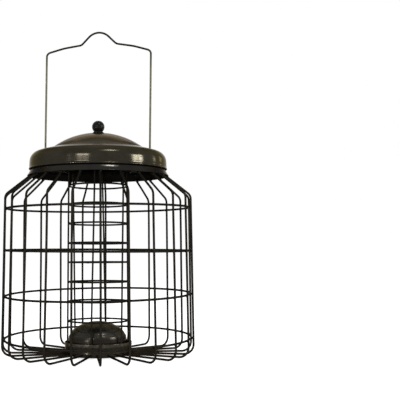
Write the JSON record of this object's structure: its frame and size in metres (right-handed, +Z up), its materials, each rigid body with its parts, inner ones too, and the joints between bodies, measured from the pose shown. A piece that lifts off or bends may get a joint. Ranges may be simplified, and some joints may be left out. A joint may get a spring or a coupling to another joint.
{
  "type": "squirrel proof bird feeder",
  "caption": "Round hanging bird feeder: a guard cage of bent wire round a column of wire rings for fat balls, under a domed lid that lifts along the wire bail.",
  "frame": {"origin": "centre of the base tray's flat underside, on the surface that the feeder stands on", "axes": "+Z up along the food column and the bail, -Y the front as pictured, +X to its right"},
  "size_m": [0.2123, 0.2122, 0.3599],
  "materials": {
    "wire_enamel": "satin dark brown enamel on wire",
    "lid_enamel": "glossy dark brown enamel on pressed sheet",
    "base_enamel": "glossy dark brown enamel on pressed sheet",
    "bail_enamel": "thin grey brown enamel on wire",
    "knob_plastic": "glossy black brown moulding",
    "washer_rubber": "matt black",
    "screw_steel": "zinc plated"
  },
  "bodies": {
    "cage": {"base_tray": "base_enamel", "base_dome": "base_enamel", "cage_rib_1": "wire_enamel", "cage_rib_2": "wire_enamel", "cage_rib_3": "wire_enamel", "cage_rib_4": "wire_enamel", "cage_rib_5": "wire_enamel", "cage_rib_6": "wire_enamel", "cage_rib_7": "wire_enamel", "cage_rib_8": "wire_enamel", "cage_rib_9": "wire_enamel", "cage_rib_10": "wire_enamel", "cage_rib_11": "wire_enamel", "cage_rib_12": "wire_enamel", "cage_rib_13": "wire_enamel", "cage_rib_14": "wire_enamel", "cage_rib_15": "wire_enamel", "cage_rib_16": "wire_enamel", "cage_rib_17": "wire_enamel", "cage_rib_18": "wire_enamel", "cage_rib_19": "wire_enamel", "cage_rib_20": "wire_enamel", "cage_rib_21": "wire_enamel", "cage_rib_22": "wire_enamel", "cage_rib_23": "wire_enamel", "cage_hoop_1": "wire_enamel", "cage_hoop_2": "wire_enamel", "cage_hoop_3": "wire_enamel", "cage_hoop_4": "wire_enamel", "food_upright_1": "wire_enamel", "food_upright_2": "wire_enamel", "food_upright_3": "wire_enamel", "food_upright_4": "wire_enamel", "food_upright_5": "wire_enamel", "food_upright_6": "wire_enamel", "food_ring_1": "wire_enamel", "food_ring_2": "wire_enamel", "food_ring_3": "wire_enamel", "food_ring_4": "wire_enamel", "food_ring_5": "wire_enamel", "food_ring_6": "wire_enamel", "food_ring_7": "wire_enamel", "food_ring_8": "wire_enamel", "cage_collar": "lid_enamel", "bail": "bail_enamel"},
    "lid": {"lid": "lid_enamel", "lid_knob": "knob_plastic", "knob_washer": "washer_rubber", "knob_screw": "screw_steel"}
  },
  "joints": [
    {"name": "lid_lift", "type": "slide", "parent": "cage", "child": "lid", "axis": [0, 0, 1], "range_m": [0, 0.09]}
  ]
}
